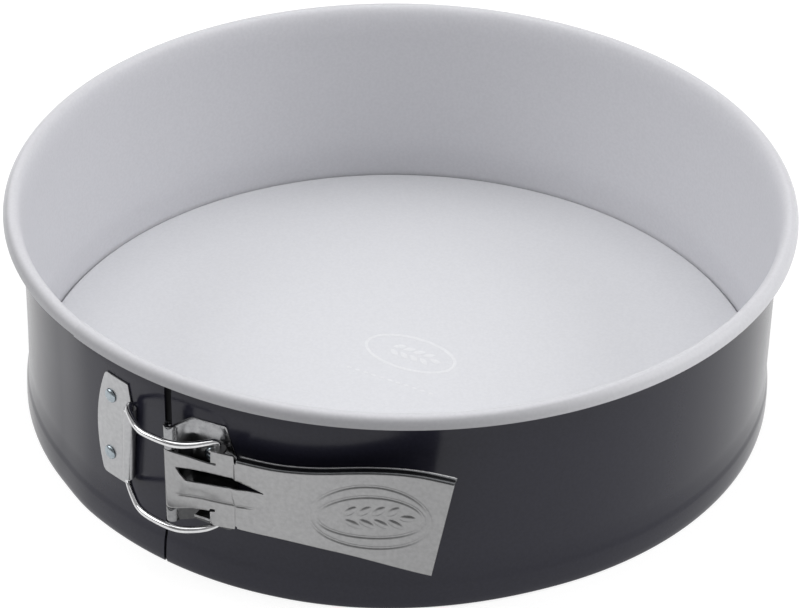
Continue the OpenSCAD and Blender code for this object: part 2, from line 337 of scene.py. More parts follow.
def box_sheet(corners, z_lo, z_hi, ease=0.15):
    """Upright plate: an anticlockwise plan outline run between two heights, its edges eased."""
    loop = np.array(corners, float)
    small = inset(loop, ease)
    levels = [(small, z_lo), (loop, z_lo + ease), (loop, z_hi - ease), (small, z_hi)]
    verts, n = [], len(loop)
    for l, z in levels:
        verts += [(p[0], p[1], z) for p in l]
    faces = []
    for k in range(len(levels) - 1):
        for i in range(n):
            j = (i + 1) % n
            faces.append((k * n + i, k * n + j, (k + 1) * n + j, (k + 1) * n + i))
    tris = delaunay_2d_cdt([Vector(p) for p in small], [(i, (i + 1) % n) for i in range(n)], [], 1, 1e-6)[2]
    top = 3 * n
    for t in tris:
        a, b, c = (small[i] for i in t)
        turn_left = (b[0] - a[0]) * (c[1] - a[1]) - (b[1] - a[1]) * (c[0] - a[0]) > 0
        t = list(t) if turn_left else list(reversed(t))
        faces.append(tuple(top + i for i in t))
        faces.append(tuple(reversed(t)))
    return verts, faces


# ---------------------------------------------------------------- materials

def material(name, colour, rough, metal=0.0, **sockets):
    """A material with its even values set on its shader's sockets. Returns it, its shader and its tree."""
    m = bpy.data.materials.new(name)
    m.use_nodes = True
    tree = m.node_tree
    shader = tree.nodes["Principled BSDF"]
    shader.inputs["Base Color"].default_value = (*colour, 1)
    shader.inputs["Roughness"].default_value = rough
    shader.inputs["Metallic"].default_value = metal
    for key, value in sockets.items():
        shader.inputs[key.replace("_", " ")].default_value = value
    return m, shader, tree


def noise(tree, scale, detail=3.0, stretch=(1, 1, 1)):
    """Noise value in the object's own coordinates."""
    coords = tree.nodes.new("ShaderNodeTexCoord")
    mapping = tree.nodes.new("ShaderNodeMapping")
    mapping.inputs["Scale"].default_value = stretch
    tree.links.new(coords.outputs["Object"], mapping.inputs["Vector"])
    tex = tree.nodes.new("ShaderNodeTexNoise")
    tex.inputs["Scale"].default_value = scale
    tex.inputs["Detail"].default_value = detail
    tree.links.new(mapping.outputs["Vector"], tex.inputs["Vector"])
    return tex.outputs["Fac"]


def ramp(tree, value, low, high, at_low=0.35, at_high=0.65):
    node = tree.nodes.new("ShaderNodeValToRGB")
    node.color_ramp.elements[0].position = at_low
    node.color_ramp.elements[1].position = at_high
    node.color_ramp.elements[0].color = (*low, 1)
    node.color_ramp.elements[1].color = (*high, 1)
    tree.links.new(value, node.inputs["Fac"])
    return node.outputs["Color"]


def vary_rough(tree, shader, value, low, high):
    node = tree.nodes.new("ShaderNodeMapRange")
    node.inputs["To Min"].default_value = low
    node.inputs["To Max"].default_value = high
    tree.links.new(value, node.inputs["Value"])
    tree.links.new(node.outputs["Result"], shader.inputs["Roughness"])


def bump(tree, shader, value, strength, distance):
    node = tree.nodes.new("ShaderNodeBump")
    node.inputs["Strength"].default_value = strength
    node.inputs["Distance"].default_value = distance
    tree.links.new(value, node.inputs["Height"])
    tree.links.new(node.outputs["Normal"], shader.inputs["Normal"])


def coat_material(name, low, high, rough, spec, grain=0.02):
    """Baked-on coating: two close colours, uneven gloss and a fine grain."""
    m, shader, tree = material(name, high, rough, Specular_IOR_Level=spec)
    tree.links.new(ramp(tree, noise(tree, 900, 2), low, high), shader.inputs["Base Color"])
    vary_rough(tree, shader, noise(tree, 60, 4), rough - 0.04, rough + 0.04)
    bump(tree, shader, noise(tree, 1600, 2), grain, 0.0002)
    return m


def place_value(m, axis, start, end, low, high):
    """A value that runs from low to high between two places, in metres, along an axis or a radius."""
    tree = m.node_tree
    coords = tree.nodes["Texture Coordinate"].outputs["Object"]
    if axis == "RADIUS":
        flat = tree.nodes.new("ShaderNodeVectorMath")
        flat.operation = "MULTIPLY"
        flat.inputs[1].default_value = (1, 1, 0)
        tree.links.new(coords, flat.inputs[0])
        length = tree.nodes.new("ShaderNodeVectorMath")
        length.operation = "LENGTH"
        tree.links.new(flat.outputs["Vector"], length.inputs[0])
        place = length.outputs["Value"]
    else:
        split = tree.nodes.new("ShaderNodeSeparateXYZ")
        tree.links.new(coords, split.inputs["Vector"])
        place = split.outputs[axis]
    node = tree.nodes.new("ShaderNodeMapRange")
    node.interpolation_type = "SMOOTHSTEP"
    for socket, value in (("From Min", start), ("From Max", end), ("To Min", low), ("To Max", high)):
        node.inputs[socket].default_value = value
    tree.links.new(place, node.inputs["Value"])
    return node.outputs["Result"]


def join_values(m, kind, a, b):
    node = m.node_tree.nodes.new("ShaderNodeMath")
    node.operation = kind
    m.node_tree.links.new(a, node.inputs[0])
    m.node_tree.links.new(b, node.inputs[1])
    return node.outputs["Value"]


def shade_by(m, value):
    """Scales a material's colour by a value."""
    shader = m.node_tree.nodes["Principled BSDF"]
    node = m.node_tree.nodes.new("ShaderNodeVectorMath")
    node.operation = "SCALE"
    m.node_tree.links.new(shader.inputs["Base Color"].links[0].from_socket, node.inputs[0])
    m.node_tree.links.new(value, node.inputs["Scale"])
    m.node_tree.links.new(node.outputs["Vector"], shader.inputs["Base Color"])


def metal_material(name, low, high, rough, grain, scale=700, stretch=(1, 1, 1)):
    """Bare or plated metal with a mottled colour, uneven gloss and a fine grain."""
    m, shader, tree = material(name, high, rough, 1.0)
    colour = ramp(tree, noise(tree, scale, 4, stretch), low, high, 0.3, 0.7)
    tree.links.new(colour, shader.inputs["Base Color"])
    vary_rough(tree, shader, noise(tree, 90, 4), rough - 0.05, rough + 0.05)
    bump(tree, shader, noise(tree, scale * 1.7, 3, stretch), grain, 0.0002)
    return m


band_coat = coat_material("band_coat", (0.61, 0.61, 0.64), (0.64, 0.64, 0.67), 0.42, 0.30)
base_coat = coat_material("base_coat", (0.625, 0.63, 0.655), (0.65, 0.655, 0.68), 0.40, 0.30)
base_print = coat_material("base_print", (0.68, 0.685, 0.705), (0.71, 0.715, 0.735), 0.40, 0.30)
dark_coat = coat_material("dark_coat", (0.0155, 0.0155, 0.025), (0.018, 0.018, 0.0285), 0.20, 0.25)
# Near-black painted shadow for the groove at the seam, not a coat of its own.
seam_painted_shadow = coat_material("seam_painted_shadow", (0.004, 0.004, 0.005), (0.006, 0.006, 0.007), 0.6, 0.05)
# The lever's steel is a darker copy of the strap's: painted shade for the darker surroundings it reflects.
plated = metal_material("plated_steel", (0.275, 0.275, 0.278), (0.32, 0.32, 0.323), 0.30, 0.03)
strap = metal_material("strap_steel", (0.36, 0.362, 0.37), (0.42, 0.423, 0.43), 0.30, 0.03)
bracket = metal_material("bracket_steel", (0.25, 0.252, 0.26), (0.33, 0.333, 0.34), 0.20, 0.05)
# Painted shade: above about 63 mm the pale coat darkens over the rim, most on its outer face and towards the
# front.
rim_front_painted_shade = join_values(band_coat, "MAXIMUM", place_value(band_coat, "RADIUS", 0.1338, 0.1364, 1.0, 0.55),
                       place_value(band_coat, "Y", -0.128, -0.035, 0.55, 0.97))
rim_painted_shade = join_values(band_coat, "MULTIPLY",
                     place_value(band_coat, "RADIUS", 0.1313, 0.1332, 1.0, 0.90), rim_front_painted_shade)
shade_by(band_coat, join_values(band_coat, "MAXIMUM", rim_painted_shade,
                                place_value(band_coat, "Z", 0.063, 0.067, 1.0, 0.0)))
# Painted shade: the bracket darkens below about 46 to 52 mm high, much less near the pin's knuckle.
shade_by(bracket, join_values(bracket, "MAXIMUM", place_value(bracket, "Z", 0.046, 0.052, 0.25, 1.0),
                              place_value(bracket, "X", 0.0054, 0.0064, 0.8, 0.0)))
# Painted shade: the lever darkens towards its tip.
shade_by(plated, place_value(plated, "X", 0.035, 0.090, 1.0, 0.87))
# Much darker metal for the lever's folded edges: painted shade that dulls their highlight.
hem_painted_shade = metal_material("hem_painted_shade", (0.07, 0.072, 0.076), (0.10, 0.102, 0.106), 0.30, 0.05)
rivet_steel = metal_material("rivet_steel", (0.26, 0.30, 0.33), (0.36, 0.41, 0.44), 0.24, 0.06)
bright = metal_material("bright_wire", (0.56, 0.56, 0.57), (0.68, 0.68, 0.69), 0.09, 0.03, 500, (1, 1, 0.2))


# ---------------------------------------------------------------- side band

def band_profile():
    """Inner face of the sheet in section, from the lip's edge up to the rim's edge, as (radius, height)."""
    skirt = pan_r + foot_out
    flare_z = rim_top - 11.5
    low = [np.array([[skirt - lip_w, sheet_t], [skirt - 1.6, sheet_t], [skirt - 0.6, sheet_t]]),
           arc((skirt - 0.5, sheet_t + 0.5), 0.5, -80, 0, 6),
           np.array([[skirt, z] for z in np.linspace(2, foot_h - 6.8, 3)]),
           bezier((skirt, foot_h - 6), (skirt, foot_h - 1.5), (pan_r, foot_h + 3), (pan_r, foot_h + 8), 36)]
    high = [np.array([[pan_r, z] for z in np.linspace(foot_h + 10, flare_z - 1, 24)]),
            bezier((pan_r, flare_z), (pan_r, rim_top - 5), (pan_r + 0.9, rim_top),
                   (pan_r + rim_r, rim_top), 22),
            arc((pan_r + rim_r, rim_top - rim_r), rim_r, 84, 0, 12),
            np.array([[pan_r + 2 * rim_r, rim_top - rim_r - 0.6]])]
    return np.concatenate(low + high), sum(len(p) for p in low)


drawn_h = 46.0


def z_share(z):
    """Height in the wall's lower part, which the closing clasp draws out of true, from 0 to 1."""
    return np.clip(z / drawn_h, 0, 1)


profile, tongue_first = band_profile()
slope = np.gradient(profile, axis=0)
slope /= np.linalg.norm(slope, axis=1)[:, None]
outward = np.stack([slope[:, 1], -slope[:, 0]], 1)


def spread(mm):
    """The closed band isn't quite round at its foot: it stands out a little round the clasp."""
    left, right, past_clasp = 1.3, 2.0, smooth(-40, 60, mm)
    return (left * smooth(-190, -90, mm) * (1 - past_clasp)
            + right * past_clasp * (1 - smooth(60, 130, mm)))


def stand_out(mm, z):
    """How far the wall stands outside the true circle at a height."""
    return spread(mm) * (1 - z_share(z)) ** 1.5


def band_points(mm, out):
    """Points of the profile at a place along the wall, out mm outside the inner face."""
    p = profile + outward * np.reshape(out, (-1, 1))
    p[:, 1] = np.maximum(p[:, 1], 0.0)
    r, z = p[:, 0] + stand_out(mm, p[:, 1]), p[:, 1]
    seam = (-2.1 - 0.9 * (1 - z_share(z))) * (1 - smooth(0, 30, abs(mm)))
    a = (mm + seam) / pan_r
    return np.stack([r * np.sin(a), -r * np.cos(a), z], 1)


def ridge(z):
    """The foot's step shows outside only as a low soft ridge."""
    return 0.28 * (1 - smooth(foot_h - 2.2, foot_h + 0.9, z)) * smooth(0.6, 2.6, z)


def lap_lift(mm):
    """How far the outer layer stands off where it laps the tongue; it eases out over a long run."""
    off = lap_out * float(smooth(tongue_mm - 22, tongue_mm - 1, mm))
    return off * (1 - 0.55 * smooth(rim_top - 12, rim_top - 6, profile[:, 1]))


def main_lift(mm):
    """The wall to the right of the seam steps out to lie flush with the outer layer, but its rim doesn't."""
    high = smooth(foot_h + 29, foot_h + 34, profile[:, 1])
    step_out = lap_out * smooth(0.3 + 0.6 * high, 1.1 + 1.5 * high, mm) * (1 - smooth(8, 90, mm))
    return step_out * (1 - smooth(rim_top - 12, rim_top - 6, profile[:, 1]))


def band_piece(name, stations, lowest, out_of, body, nodes, painted_shadow_test=None):
    """Sheet run along the wall; lowest(i) is the first profile point used between stations i and i + 1.
    out_of(mm) is how far it stands off, and the last argument tells which outer faces get the seam's
    near-black painted shadow."""
    count, n = len(stations), len(profile)
    verts, normals = [], []
    for mm in stations:
        for side, depth in ((0, 0.0), (1, sheet_t + ridge(profile[:, 1]))):
            p = band_points(mm, out_of(mm) + depth)
            ahead, behind = (band_points(mm + k, out_of(mm + k) + depth) for k in (0.05, -0.05))
            along = ahead - behind
            up = np.gradient(p, axis=0)
            normal = np.cross(along, up)
            normal /= np.linalg.norm(normal, axis=1)[:, None]
            verts.append(p)
            normals.append(normal if side else -normal)
    verts, normals = np.concatenate(verts), np.concatenate(normals)
    faces, slots, loops = [], [], []

    def index(i, j, side):
        return (2 * i + side) * n + j

    def face(corners, slot, flat=False):
        faces.append(tuple(corners))
        slots.append(slot)
        if flat:
            a, b, c, d = (verts[k] for k in corners)
            across = np.cross(c - a, d - b)
            loops.extend([across / np.linalg.norm(across)] * 4)
        else:
            loops.extend(normals[k] for k in corners)

    for i in range(count - 1):
        for j in range(lowest(i), n - 1):
            # Outer faces in the seam's groove get slot 2, the near-black painted shadow.
            painted_shadow = painted_shadow_test is not None and painted_shadow_test(stations[i], profile[j, 1])
            outer = [index(i, j, 1), index(i + 1, j, 1), index(i + 1, j + 1, 1), index(i, j + 1, 1)]
            face(outer, 2 if painted_shadow else 1)
            face([index(i, j, 0), index(i, j + 1, 0), index(i + 1, j + 1, 0), index(i + 1, j, 0)], 0)
        j = lowest(i)
        face([index(i, j, 0), index(i + 1, j, 0), index(i + 1, j, 1), index(i, j, 1)], 1, True)
        j = n - 1
        face([index(i, j, 1), index(i + 1, j, 1), index(i + 1, j, 0), index(i, j, 0)], 0, True)
    for i in range(count):
        before = lowest(i - 1) if i else n - 1
        after = lowest(i) if i < count - 1 else n - 1
        for j in range(after, before):
            face([index(i, j, 0), index(i, j, 1), index(i, j + 1, 1), index(i, j + 1, 0)], 1, True)
        for j in range(before, after):
            face([index(i, j, 1), index(i, j, 0), index(i, j + 1, 0), index(i, j + 1, 1)], 1, True)
    used = sorted({k for f in faces for k in f})
    renumber = {k: i for i, k in enumerate(used)}
    faces = [tuple(renumber[k] for k in f) for f in faces]
    return piece(name, verts[used], faces, [band_coat, dark_coat, seam_painted_shadow], body, nodes,
                 slots, loops)


def gets_seam_painted_shadow(mm, z):
    """Which part of the outer face, in the groove at the seam's step, gets the near-black painted shadow; it
    is wider above the clasp.
    """
    return -2.5 < mm < (2.6 if z > foot_h + 34 else 0.75)


quarter_mm = -pi / 2 * pan_r
foot_start = -1.2
tongue = list(np.linspace(tongue_mm, foot_start, 24))[:-1]
around = (list(np.linspace(foot_start, 0.1, 3)) + list(np.linspace(0.3, 2.7, 13))
          + list(np.linspace(3.6, 1.5 * pi * pan_r, 270)))
band_piece("band_main", tongue + around, lambda i: tongue_first if i < len(tongue) else 0,
           main_lift, "ring", ["side_band"], gets_seam_painted_shadow)
quarter = list(np.linspace(quarter_mm, tongue_mm - 23, 64)) + list(np.linspace(tongue_mm - 22, 0, 50))
band_front = band_piece("band_lap", quarter, lambda i: 0, lap_lift, "ring", ["side_band"])
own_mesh(band_front)


# ---------------------------------------------------------------- base

def leaf(centre, angle, length, width, count=16):
    """Outline of a leaf, pointed at both ends."""
    t = np.linspace(0, 1, count, endpoint=False)
    top = np.stack([(t - 0.5) * length, width / 2 * np.sin(pi * t)], 1)
    bottom = np.stack([(0.5 - t) * length, -width / 2 * np.sin(pi * t)], 1)
    p = np.concatenate([top[::-1], bottom[::-1]])
    c, s = cos(angle), sin(angle)
    return p @ np.array([[c, s], [-s, c]]) + np.array(centre)


def ear_of_wheat(size, rows=4):
    """Leaf outlines of a plain ear of wheat lying along +u, size mm long."""
    length, width = size * 0.2, size * 0.085
    leaves = [((size / 2 - size * 0.09, 0), 0.0, length, width)]
    for k in range(rows):
        u = size * (0.26 - 0.16 * k)
        for side in (-1, 1):
            leaves.append(((u, side * width), side * radians(32), length, width))
    return leaves


base_r = pan_r + foot_out - 0.6
base_top = 4.0
base_t = 0.8
edge_r = 1.1
base_foot = 0.7
under, skirt_in = base_top - base_t, base_r - base_t
base_profile = np.concatenate([
    [[0, under], [60, under], [skirt_in - 0.3, under], [skirt_in, under - 0.3], [skirt_in, base_foot],
     [base_r - 0.1, base_foot], [base_r, base_foot + 0.15]],
    arc((base_r - edge_r, base_top - edge_r), edge_r, 0, 90, 8),
    [[r, base_top] for r in (base_r - 2, base_r - 4, 110, 80, 40, 0)]])
build = Builder()
build.add(*lathe(base_profile, 256))
print_turn = radians(5.3)
print_at = np.array([0.5, 6.9])
print_t = 0.04
print_half, print_band = (18.0, 10.2), 1.2
dash_count, dash_gap, dash_down = 11, 3.3, 18.3


def print_flat(outline, holes=()):
    """Thin printed shape on the base, in the print's own turned place."""
    c, s = cos(print_turn), sin(print_turn)

    def place(p, depth):
        q = p @ np.array([[c, s], [-s, c]]) + print_at
        return np.stack([q[:, 0], q[:, 1], base_top + print_t - depth], 1)

    build.add(*sheet(outline, holes, place, 2 * print_t, 1.2, edge=0.01), slot=1)


def ellipse(a, b, count, reverse=False):
    """Outline of an oval with half sizes a and b, anticlockwise unless reversed."""
    t = np.linspace(0, 2 * pi, count, endpoint=False)
    p = np.stack([a * np.cos(t), b * np.sin(t)], 1)
    return p[::-1] if reverse else p


hole_half = [half - print_band for half in print_half]
print_flat(ellipse(*print_half, 72), [ellipse(*hole_half, 72, True)])
for centre, angle, length, width in ear_of_wheat(25):
    print_flat(leaf(centre, angle, length, width))
for k in range(dash_count):
    print_flat(leaf((-15.0 + dash_gap * k, -dash_down), 0.0, 2.3, 1.1, 6))
piece("base_disc", build.verts, build.faces, [base_coat, base_print], "base", ["base_plate"],
      build.slots)


# ---------------------------------------------------------------- catch plate

def catch_place(p, depth):
    """Plate coordinates (mm along the wall, height) to space."""
    a = p[:, 0] / pan_r
    r = pan_r + catch_d + catch_t - 0.15 - depth
    return np.stack([r * np.sin(a), -r * np.cos(a), p[:, 1]], 1)


catch_t = 0.6
curl_half = 14.2
lean = 0.08
curl_mid = catch_mm + 0.25


def leaning(x, y, z):
    """A point by the curl, sheared along the wall so that the curl's top leans to the right."""
    along = lean * (z - clasp_z)
    return x + along * cos(curl_mid / pan_r), y + along * sin(curl_mid / pan_r), z


left_edge = [(-29.4 - 3.7 * (1 - v * v), 43.0 + 20.7 * v) for v in np.linspace(0.96, -0.96, 15)]
shape = [(-18.9, 63.5), (-28.7, 63.8)] + left_edge + [
    (-28.6, 22.2), (-18.3, 22.4), (-16.8, clasp_z - curl_half + 0.6), (curl_mid, clasp_z - curl_half),
    (curl_mid, clasp_z + curl_half - 1.0), (-17.0, clasp_z + curl_half - 0.4)]
shape = [(u + lean * (v - clasp_z), v) for u, v in shape]
build = Builder()
build.add(*sheet(rounded(shape, 0.5, 4), [], catch_place, catch_t, 1.3))
curl_centre = at(curl_mid, curl_d)
curl_angles = np.radians(np.linspace(97, -215, 40)) + curl_mid / pan_r
outer = [curl_centre + curl_r * np.array([cos(a), sin(a)]) for a in curl_angles]
inner = [curl_centre + (wire_r + 0.08) * np.array([cos(a), sin(a)]) for a in curl_angles]
verts, faces = box_sheet(np.array(inner + outer[::-1]), clasp_z - curl_half, clasp_z + curl_half)
build.add([leaning(*v) for v in verts], faces)
piece("catch_strap", build.verts, build.faces, [strap], "catch_end", ["catch_plate"])


# ---------------------------------------------------------------- rivets and pin

rivet_r, head_r, head_h = 1.4, 2.5, 1.2
catch_rivet_mm, catch_rivet_gap = -26.3, 11.8


def rivet(name, node, mm, z, d_lo, d_head, body):
    """Rivet with a domed head; its shank runs from the head's seat at d_head down to d_lo."""
    head = bezier((head_r, 0.22), (head_r - 0.1, 0.75), (1.35, head_h), (0, head_h), 12)
    end = d_lo - d_head
    section = np.concatenate([[[0, end], [rivet_r - 0.1, end], [rivet_r, end + 0.1],
                               [rivet_r, 0.0], [head_r - 0.12, 0.0], [head_r, 0.1]], head])
    verts, faces = lathe(section, 48)
    a = mm / pan_r
    base = at(mm, d_head)
    middle = np.array([base[0], base[1], z])
    out, side, up = np.array([sin(a), -cos(a), 0]), np.array([cos(a), sin(a), 0]), np.array([0, 0, 1])
    verts = [middle + v[0] * side + v[1] * up + v[2] * out for v in verts]
    faces = [tuple(reversed(f)) for f in faces]
    piece(name, verts, faces, [rivet_steel], body, [node])


for place_name, dz in (("upper", 1), ("lower", -1)):
    rivet("rivet_catch_" + place_name, "catch_rivet_" + place_name, catch_rivet_mm + 0.85 * dz,
          clasp_z + 1.3 + catch_rivet_gap * dz, lap_out, catch_d + catch_t - 0.15, "catch_end")
    rivet_mm, rivet_z = hinge_mm + 12, clasp_z + 8 * dz
    out = float(stand_out(rivet_mm, rivet_z))
    rivet("rivet_hinge_" + place_name, "hinge_rivet_" + place_name, rivet_mm, rivet_z, 0.5 + out, 1.65 + out,
          "ring")

pin_r, pin_half = 1.05, 16.8
pin_line = [(*at(hinge_mm, hinge_d), clasp_z + z) for z in np.linspace(-pin_half, pin_half, 12)]
build = Builder()
build.add(*tube(pin_line, pin_r, 32))
piece("hinge_pin_bar", build.verts, build.faces, [bright], "ring", ["hinge_pin"])


# ---------------------------------------------------------------- hinge plate

knuckle_r = 2.1
neck_top, neck_low = 51.2, 28.45
plate_d, plate_t = 0.65, 1.0
crease_mm = 8.6


wall_count = 14


def hinge_line():
    """Outer face of the hinge plate in plan, from its far edge to the end of its curl round the pin."""
    wall = [at(mm, plate_d + plate_t) for mm in np.linspace(24.5, crease_mm + 0.9, wall_count)]
    centre = at(hinge_mm, hinge_d)
    start = hinge_mm / pan_r
    curl = [centre + knuckle_r * np.array([cos(a), sin(a)])
            for a in np.radians(np.linspace(8, -255, 40)) + start]
    web = bezier(wall[-1], at(crease_mm + 0.1, plate_d + plate_t), at(crease_mm - 1.3, hinge_d - 2.6),
                 curl[0], 12)
    return np.array(wall + list(web[1:-1]) + curl), len(wall) + 10


line, curl_start = hinge_line()
reach = np.concatenate([[0], np.cumsum(np.linalg.norm(np.diff(line, axis=0), axis=1))])
line_slope = np.gradient(line, axis=0)
line_slope /= np.linalg.norm(line_slope, axis=1)[:, None]
line_in = np.stack([line_slope[:, 1], -line_slope[:, 0]], 1)
if line_in[0].dot(line[0]) > 0:
    line_in = -line_in
full = reach[-1]
crease_at = reach[wall_count - 1]
tube_at = reach[curl_start]


def hinge_place(p, depth):
    """Developed coordinates (distance back from the curl's end, height) to space."""
    u = full - p[:, 0]
    x, y = np.interp(u, reach, line[:, 0]), np.interp(u, reach, line[:, 1])
    nx, ny = np.interp(u, reach, line_in[:, 0]), np.interp(u, reach, line_in[:, 1])
    off_middle = np.abs(p[:, 1] - clasp_z) - 14.8
    dimple = 0.6 * np.exp(-((u - crease_at - 0.6) / 1.6) ** 2 - (off_middle / 1.9) ** 2)
    k = depth - dimple - stand_out(crease_mm + 8, p[:, 1]) * (1 - smooth(crease_at + 1.5, tube_at, u))
    return np.stack([x + nx * k, y + ny * k, p[:, 1]], 1)


def hinge_shape():
    """Outline: a plate with two leaves that run on to the knuckles, above and below the lever's own."""
    edge, fold, curl = full, full - crease_at, full - tube_at
    top, bottom = 20.2, -20.2
    gap_hi, gap_lo = neck_top - clasp_z + 0.3, neck_low - clasp_z - 0.3
    pts = [(edge - 1.6, bottom), (edge, -9), (edge, 9), (edge - 2.6, top - 3.4), (edge - 3.6, top + 0.3),
           (fold, top - 0.2), (curl, 18.3), (0, 18.3), (0, gap_hi), (curl + 0.7, gap_hi),
           (curl + 0.7, gap_lo), (0, gap_lo), (0, -19.2), (curl, -19.2), (fold, bottom + 0.4)]
    radii = [2.4, 1, 1, 1.2, 1.0, 0.6, 1.0, 0, 0, 0.3, 0.3, 0, 0, 1.0, 0.6]
    return anticlockwise(rounded([(u, clasp_z + v) for u, v in pts], radii, 5))


build = Builder()
build.add(*sheet(hinge_shape(), [], hinge_place, plate_t - 0.05, 0.9, edge=0.14))
piece("hinge_bracket", build.verts, build.faces, [bracket], "ring", ["hinge_plate"])


# ---------------------------------------------------------------- lever

lever_t = 0.8
fold_r = 0.9
flange = 2.1
hem_mm = 27.3
emblem_at = (69.0, clasp_z + 0.2)
emblem_tilt = radians(9)
emblem_rings = ((19.3, 12.0), (17.2, 7.9))
ring_depth, ring_w = 0.4, 0.55
sweep_centre = at(bend_mm, face_d + sweep_r)


def half_height(mm):
    """Half the height of the lever, which flares towards its tip."""
    return 13.6 + 5.6 * smooth(36, 88, mm)


def lever_plan(mm, depth):
    """Place in plan of points of the lever's sheet, depth behind its face. Before the hinge it curls."""
    a = np.clip(mm, hinge_mm, bend_mm) / pan_r
    r = pan_r + face_d - depth
    near = np.stack([r * np.sin(a), -r * np.cos(a)], 1)
    round_pin = hinge_mm / pan_r - pi / 2 - (hinge_mm - mm) / knuckle_r
    turn = np.stack([np.cos(round_pin), np.sin(round_pin)], 1)
    curl = at(hinge_mm, hinge_d) + (knuckle_r - depth)[:, None] * turn
    near = np.where((mm < hinge_mm)[:, None], curl, near)
    b = bend_mm / pan_r + pi / 2 - (mm - bend_mm) / sweep_r
    far = sweep_centre + (sweep_r + depth)[:, None] * np.stack([np.cos(b), np.sin(b)], 1)
    return np.where((mm < bend_mm)[:, None], near, far)


curl_end = hinge_mm - knuckle_r * radians(285)
lip_low = np.array([(6.9, 45.7), (8.4, 44.4), (11, 43.5), (18, 44.9), (25.7, 46.0), (31, 45.9),
                    (35.8, 45.2)])
slot_top = np.array([(35.8, 45.4), (31, 46.9), (25.8, 48.2), (16.9, 47.6), (11, 46.7), (6.9, 45.9)])
crease_line = np.array([(5.0, 34.7), (6.7, 35.1), (14.7, 36.7), (25.6, 37.8), (31.0, 38.4), (37, 39.0)])


def slot_heights(mm):
    """Lower and upper edge of the slot at a place along the lever."""
    return (np.interp(mm, lip_low[:, 0], lip_low[:, 1]),
            np.interp(mm, slot_top[::-1, 0], slot_top[::-1, 1]))


def relief(mm, z):
    """How far the lever's face stands out from its plain curve."""
    out = 0.1 * (1 - smooth(4, 9, mm)) * (mm >= hinge_mm)
    out = out - 0.45 * smooth(5, 13, mm) * (1 - smooth(26.1, 26.9, mm))
    crease = np.interp(mm, crease_line[:, 0], crease_line[:, 1])
    lip, top = slot_heights(mm)
    t = np.clip((z - crease) / (lip - crease), 0, 1)
    out = out - 0.42 * np.exp(-((z - crease) / 0.4) ** 2) * smooth(5.5, 8, mm) * (1 - smooth(28, 38, mm))
    rib = 2.5 * smooth(5.0, 12.5, mm) * (1 - smooth(24, 37.5, mm))
    below = z < top - 0.75 * np.maximum(top - lip, 0)
    out = out + np.where(below, rib * np.sin(pi / 2 * t) ** 1.2, 0)
    c, s = cos(emblem_tilt), sin(emblem_tilt)
    u = (mm - emblem_at[0]) * c + (z - emblem_at[1]) * s
    v = (z - emblem_at[1]) * c - (mm - emblem_at[0]) * s
    for a, b in emblem_rings:
        q, turn = np.hypot(u / a, v / b), np.arctan2(v / b, u / a)
        away = (q - 1) * a * b / np.hypot(b * np.cos(turn), a * np.sin(turn))
        out = out - ring_depth * np.exp(-(away / ring_w) ** 2)
    for centre, angle, length, width in ear_of_wheat(29):
        cu, su = cos(angle), sin(angle)
        lu = ((u - centre[0]) * cu + (v - centre[1]) * su) / (length / 2)
        lv = (-(u - centre[0]) * su + (v - centre[1]) * cu) / (width / 2)
        out = out + 0.55 * np.clip(1 - lu * lu - lv * lv, 0, 1) ** 0.7
    return out


def lever_place(p, depth):
    """Developed coordinates (mm along, distance up) to space; past the half height the edge turns back."""
    mm, side = p[:, 0], np.sign(p[:, 1] - clasp_z)
    over = np.where(mm > hem_mm - 0.4, np.abs(p[:, 1] - clasp_z) - (half_height(mm) - fold_r), -1.0)
    angle = np.clip(over / fold_r, 0, pi / 2)
    beyond = np.maximum(over - fold_r * pi / 2, 0)
    height = np.where(over > 0, half_height(mm) - fold_r + (fold_r - depth) * np.sin(angle), 0)
    height = height + 0.32 * smooth(flange - 0.7, flange, beyond)
    z = np.where(over > 0, clasp_z + side * height, p[:, 1])
    back = np.where(over > 0, fold_r - (fold_r - depth) * np.cos(angle) + beyond, depth)
    plan = lever_plan(mm, back - relief(mm, p[:, 1]))
    return np.stack([plan[:, 0], plan[:, 1], z], 1)


def lever_mm(x, y):
    """How far along the lever a place in plan is."""
    mm = pan_r * atan2(x, -y)
    if mm < bend_mm:
        return mm
    turn = atan2(y - sweep_centre[1], x - sweep_centre[0])
    return bend_mm + (bend_mm / pan_r + pi / 2 - turn) * sweep_r


def tip_mm(z):
    """Where the slanting tip ends at a height."""
    return 88.9 + 0.173 * (z - clasp_z + 18.7)


